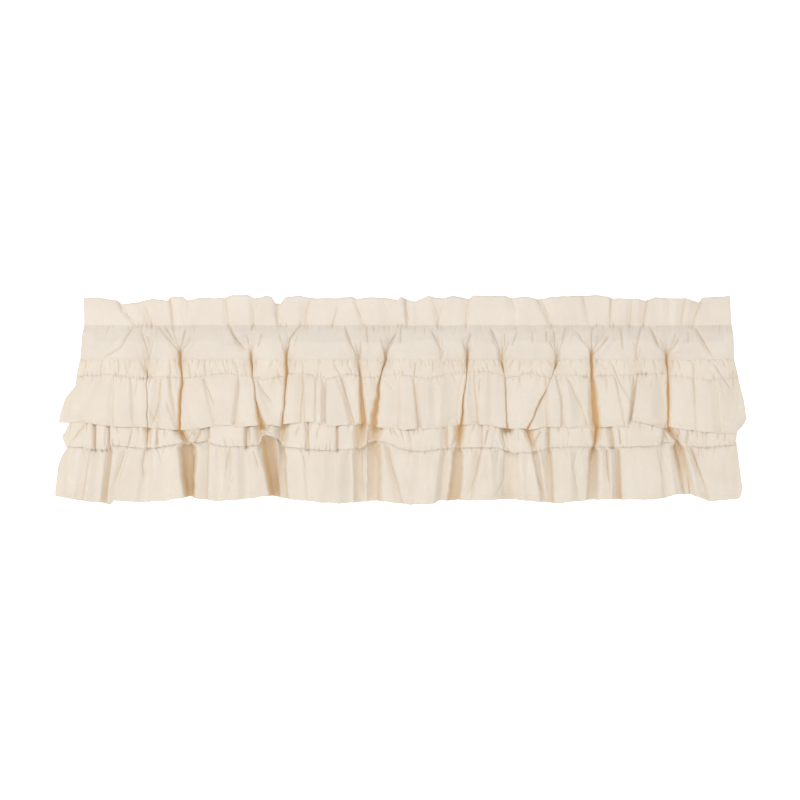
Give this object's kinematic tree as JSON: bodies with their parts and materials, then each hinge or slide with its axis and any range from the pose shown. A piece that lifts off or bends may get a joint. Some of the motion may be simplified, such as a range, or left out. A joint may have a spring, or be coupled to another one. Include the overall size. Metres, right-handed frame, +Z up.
{
  "type": "window valance",
  "caption": "Gathered window valance of unbleached muslin: a frilled heading with a rod pocket, a panel under it and two ruffles, one on its face and one along its foot.",
  "frame": {"origin": "middle of the rod pocket, on the line where the rod's axis runs", "axes": "+X along the valance's width, to the right when it is looked at from the room; -Y towards the room; +Z up"},
  "size_m": [1.3806, 0.0608, 0.4195],
  "materials": {
    "muslin": "matt plain weave, unbleached",
    "muslin_doubled": "matt plain weave, unbleached, two layers"
  },
  "bodies": {
    "root": {"heading_band": "muslin_doubled", "panel": "muslin", "upper_ruffle": "muslin", "lower_ruffle": "muslin"}
  },
  "joints": []
}
